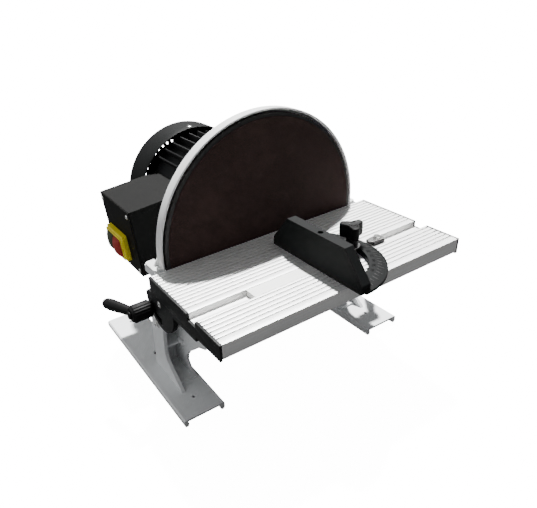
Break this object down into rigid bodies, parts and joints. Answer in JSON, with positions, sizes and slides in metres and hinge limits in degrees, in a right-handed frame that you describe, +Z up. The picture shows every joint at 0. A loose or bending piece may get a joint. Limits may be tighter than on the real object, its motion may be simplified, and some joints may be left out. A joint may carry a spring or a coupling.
{
  "type": "bench disc sander",
  "caption": "Bench disc sander with a guarded sanding disc, direct-drive finned motor, tilting grooved table, sliding miter gauge and two channel feet.",
  "frame": {"origin": "centre of the whole machine's footprint box, on the floor under the feet", "axes": "+X across the table to the operator's right, +Y from the operator through the disc to the motor, +Z up; the disc axis is parallel to Y at x = 0"},
  "size_m": [0.4674, 0.44, 0.364],
  "materials": {
    "abrasive_paper": "dark maroon-brown abrasive grit on paper backing, very matt",
    "disc_plate_aluminium": "turned aluminium plate, dull dark edge",
    "bright_steel": "machined steel",
    "black_plastic": "moulded black plastic",
    "guard_white_paint": "white textured powder coat on steel",
    "grey_paint": "light silver-grey powder coat on cast and folded metal",
    "motor_black_paint": "satin black paint on finned casting",
    "cowl_black_paint": "satin black paint on pressed steel",
    "copper_winding": null,
    "box_black_paint": "fine-textured black paint on folded sheet steel",
    "capacitor_can": "drawn aluminium can",
    "chrome": "bright plated steel",
    "yellow_plastic": "yellow moulded switch plate",
    "red_plastic": "dark red moulded key",
    "green_plastic": "dull green moulded key",
    "table_aluminium": "extruded aluminium with a bright brushed top and fine grooves",
    "cap_plastic": "black moulded plastic",
    "trunnion_black_paint": "black textured paint on a casting",
    "scale_aluminium": "thin bright aluminium with etched marks",
    "lever_plastic": "black glass-filled plastic with fine ribs",
    "bar_steel": "ground steel bar",
    "gauge_black_paint": "black paint on a casting",
    "knob_plastic": "black moulded three-lobe knob"
  },
  "bodies": {
    "base": {"disc_guard": "guard_white_paint", "disc_housing": "grey_paint", "dust_port": "black_plastic", "motor_body": "motor_black_paint", "motor_front_bell": "motor_black_paint", "motor_rear_bell": "motor_black_paint", "fan_cowl": "cowl_black_paint", "front_bearing": "bright_steel", "rear_bearing": "bright_steel", "stator_core": "bright_steel", "front_winding": "copper_winding", "rear_winding": "copper_winding", "switch_box": "box_black_paint", "switch_box_cover": "box_black_paint", "cable_gland": "black_plastic", "run_capacitor": "capacitor_can", "cover_screw_front_top": "chrome", "cover_screw_front_bottom": "chrome", "cover_screw_rear_top": "chrome", "cover_screw_rear_bottom": "chrome", "switch_housing": "yellow_plastic", "left_foot": "grey_paint", "right_foot": "grey_paint", "left_upright": "grey_paint", "right_upright": "grey_paint", "left_pivot_pin": "bright_steel", "right_pivot_pin": "bright_steel", "left_lock_nut": "bright_steel", "right_lock_nut": "bright_steel", "left_tilt_pointer": "chrome", "right_tilt_pointer": "chrome"},
    "disc_drive": {"abrasive_disc": "abrasive_paper", "disc_plate": "disc_plate_aluminium", "motor_shaft": "bright_steel", "rotor_core": "bright_steel", "cooling_fan": "black_plastic"},
    "table": {"table_top": "table_aluminium", "left_end_cap": "cap_plastic", "right_end_cap": "cap_plastic", "left_trunnion": "trunnion_black_paint", "right_trunnion": "trunnion_black_paint", "left_tilt_scale": "scale_aluminium", "right_tilt_scale": "scale_aluminium"},
    "left_lever": {"left_lock_lever": "lever_plastic"},
    "right_lever": {"right_lock_lever": "lever_plastic"},
    "gauge_bar": {"miter_bar": "bar_steel", "miter_pivot_pin": "bright_steel", "miter_lock_stud": "bright_steel", "miter_pointer_block": "black_plastic", "miter_pointer": "chrome"},
    "gauge_head": {"miter_head": "gauge_black_paint"},
    "gauge_knob": {"miter_knob": "knob_plastic", "miter_washer": "chrome"},
    "start_key": {"start_button": "green_plastic"},
    "stop_key": {"stop_button": "red_plastic"}
  },
  "joints": [
    {"name": "disc_spin", "type": "hinge", "parent": "base", "child": "disc_drive", "pos_m": [0, -0.0264, 0.2035], "axis": [0, 1, 0], "continuous": true},
    {"name": "table_tilt", "type": "hinge", "parent": "base", "child": "table", "pos_m": [0, -0.0504, 0.162], "axis": [1, 0, 0], "range_deg": [0, 45]},
    {"name": "left_lock_turn", "type": "hinge", "parent": "base", "child": "left_lever", "pos_m": [-0.2, -0.02856, 0.14699], "axis": [1, 0, 0], "range_deg": [-90, 0]},
    {"name": "right_lock_turn", "type": "hinge", "parent": "base", "child": "right_lever", "pos_m": [0.2, -0.02856, 0.14699], "axis": [1, 0, 0], "range_deg": [0, 90]},
    {"name": "miter_slide", "type": "slide", "parent": "table", "child": "gauge_bar", "axis": [1, 0, 0], "range_m": [-0.08, 0.075]},
    {"name": "miter_swivel", "type": "hinge", "parent": "gauge_bar", "child": "gauge_head", "pos_m": [-0.0035, -0.137, 0.192], "axis": [0, 0, 1], "range_deg": [-60, 60]},
    {"name": "miter_knob_turn", "type": "hinge", "parent": "gauge_bar", "child": "gauge_knob", "pos_m": [0.0525, -0.137, 0.2], "axis": [0, 0, 1], "range_deg": [0, 180]},
    {"name": "start_press", "type": "slide", "parent": "base", "child": "start_key", "axis": [0.9971, 0, 0.0767], "range_m": [0, 0.003], "stiffness_N_per_m": 400, "springref_m": -0.002},
    {"name": "stop_press", "type": "slide", "parent": "base", "child": "stop_key", "axis": [0.9971, 0, 0.0767], "range_m": [0, 0.003], "stiffness_N_per_m": 400, "springref_m": -0.002}
  ]
}
